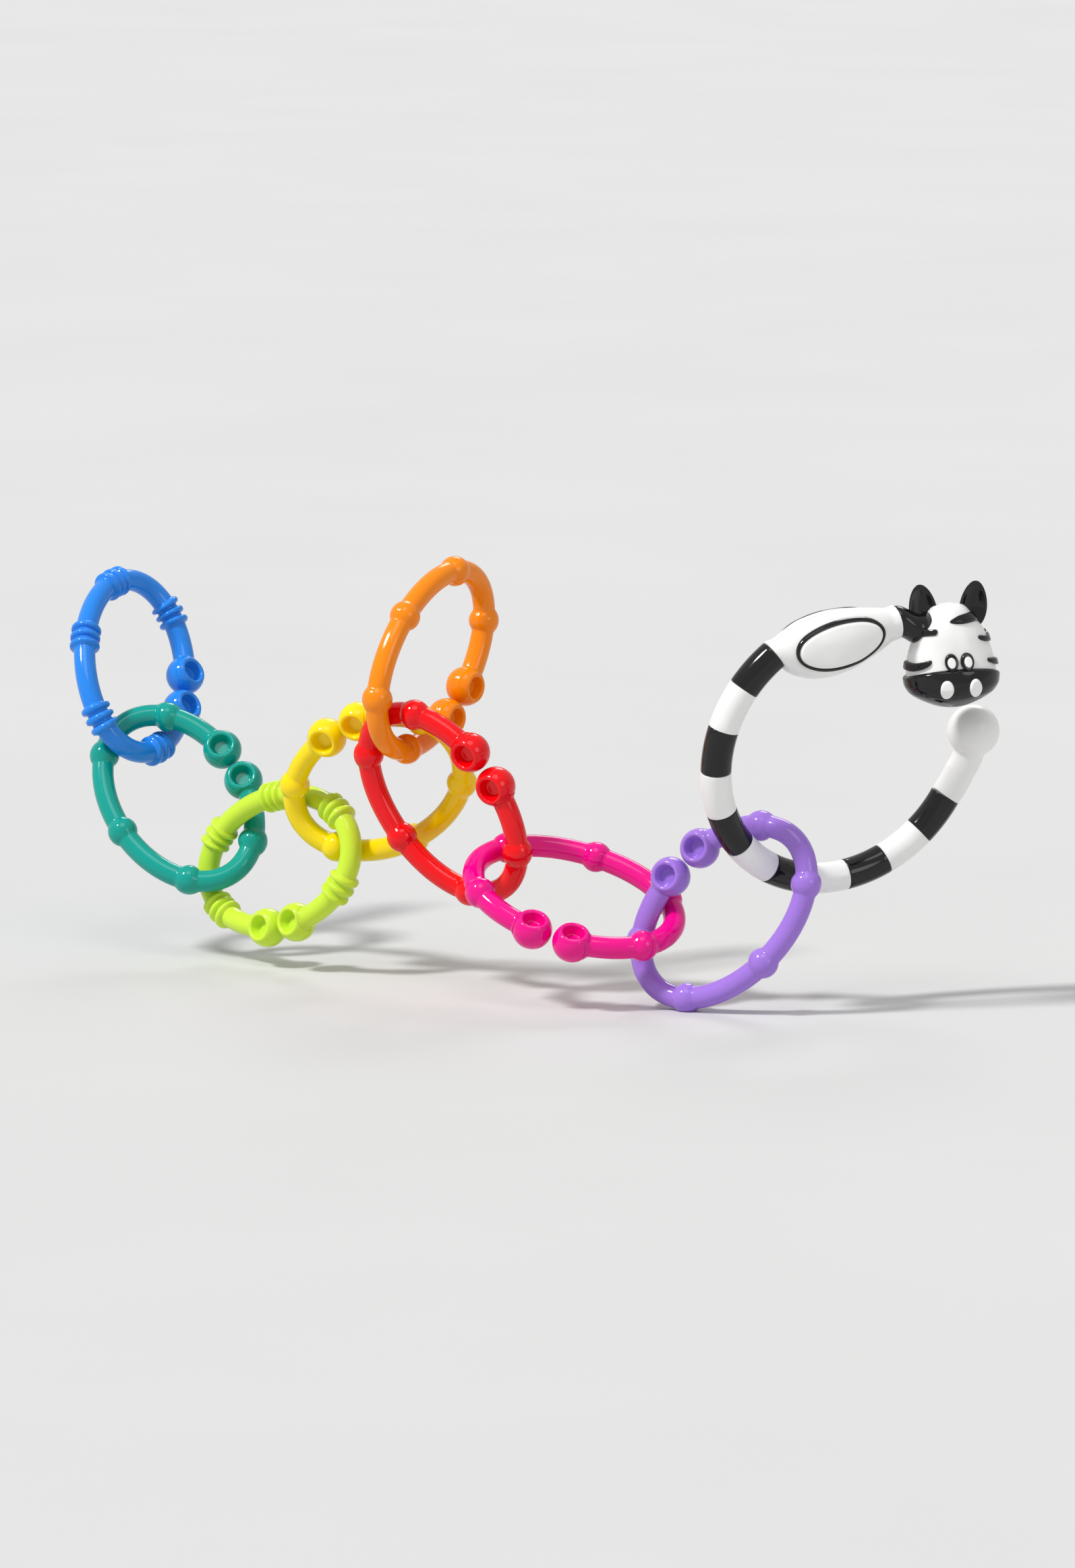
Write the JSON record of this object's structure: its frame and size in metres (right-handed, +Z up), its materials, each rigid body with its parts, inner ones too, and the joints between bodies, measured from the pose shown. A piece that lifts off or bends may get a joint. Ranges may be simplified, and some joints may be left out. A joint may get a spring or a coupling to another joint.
{
  "type": "toy link chain",
  "caption": "Chain of open oval toy links in bright gloss plastic, hung in swags, with a black and white striped ring that carries a zebra's body and head.",
  "frame": {"origin": "the inner top of the orange link, the place where the toy hangs", "axes": "+X along the chain from the blue link to the zebra, +Y to the back, +Z up"},
  "size_m": [0.3238, 0.1031, 0.135],
  "materials": {
    "blue_plastic": "gloss",
    "teal_plastic": "gloss",
    "lime_plastic": "gloss",
    "yellow_plastic": "gloss",
    "orange_plastic": "gloss",
    "red_plastic": "gloss",
    "magenta_plastic": "gloss",
    "purple_plastic": "gloss",
    "white_plastic": "gloss",
    "black_plastic": "gloss"
  },
  "bodies": {
    "orange": {"orange_link": "orange_plastic"},
    "yellow": {"yellow_link": "yellow_plastic"},
    "lime": {"lime_link": "lime_plastic"},
    "teal": {"teal_link": "teal_plastic"},
    "blue": {"blue_link": "blue_plastic"},
    "red": {"red_link": "red_plastic"},
    "magenta": {"magenta_link": "magenta_plastic"},
    "purple": {"purple_link": "purple_plastic"},
    "zebra_ring": {"striped_ring": "white_plastic", "black_band_1": "black_plastic", "black_band_2": "black_plastic", "black_band_3": "black_plastic", "black_band_4": "black_plastic", "black_band_5": "black_plastic", "black_band_6": "black_plastic", "torso_front_shell": "white_plastic", "torso_rear_shell": "white_plastic", "front_badge": "white_plastic", "front_badge_line": "black_plastic", "rear_badge": "white_plastic", "rear_badge_line": "black_plastic", "neck": "black_plastic"},
    "zebra_head": {"head_face": "white_plastic", "head_back": "white_plastic", "muzzle": "black_plastic", "forehead_stripe": "black_plastic", "brow_stripe_left": "black_plastic", "brow_stripe_right": "black_plastic", "cheek_stripe_left": "black_plastic", "cheek_stripe_right": "black_plastic", "left_ear": "black_plastic", "right_ear": "black_plastic", "left_eye": "white_plastic", "right_eye": "white_plastic", "left_nostril": "white_plastic", "right_nostril": "white_plastic"}
  },
  "joints": [
    {"name": "yellow_swing", "type": "hinge", "parent": "orange", "child": "yellow", "pos_m": [-0.00224, -0.01954, -0.04555], "axis": [-0.2794, 0.3393, -0.8982], "range_deg": [0, 18]},
    {"name": "lime_swing", "type": "hinge", "parent": "yellow", "child": "lime", "pos_m": [-0.02845, -0.01361, -0.08542], "axis": [-0.4806, 0.831, -0.2803], "range_deg": [0, 38]},
    {"name": "teal_swing", "type": "hinge", "parent": "lime", "child": "teal", "pos_m": [-0.08665, -0.01013, -0.10266], "axis": [-0.0599, 0.2795, 0.9583], "range_deg": [0, 30]},
    {"name": "blue_swing", "type": "hinge", "parent": "teal", "child": "blue", "pos_m": [-0.12534, -0.00743, -0.0608], "axis": [0.2503, -0.1802, 0.9512], "range_deg": [0, 30]},
    {"name": "red_swing", "type": "hinge", "parent": "orange", "child": "red", "pos_m": [-0.00471, -0.03372, -0.04055], "axis": [0.0799, -0.789, 0.6092], "range_deg": [0, 15]},
    {"name": "magenta_swing", "type": "hinge", "parent": "red", "child": "magenta", "pos_m": [0.03199, -0.01913, -0.08183], "axis": [-0.34, -0.67, 0.66], "range_deg": [0, 42]},
    {"name": "purple_swing", "type": "hinge", "parent": "magenta", "child": "purple", "pos_m": [0.07976, -0.00543, -0.09615], "axis": [0.9125, -0.0802, -0.4011], "range_deg": [0, 36]},
    {"name": "zebra_ring_swing", "type": "hinge", "parent": "purple", "child": "zebra_ring", "pos_m": [0.10997, -0.00376, -0.07138], "axis": [0.7021, 0, -0.7121], "range_deg": [0, 30]},
    {"name": "head_swivel", "type": "hinge", "parent": "zebra_ring", "child": "zebra_head", "pos_m": [0.16067, 0.03019, -0.00615], "axis": [0.7124, 0.7005, 0.0426], "range_deg": [-35, 35]}
  ]
}
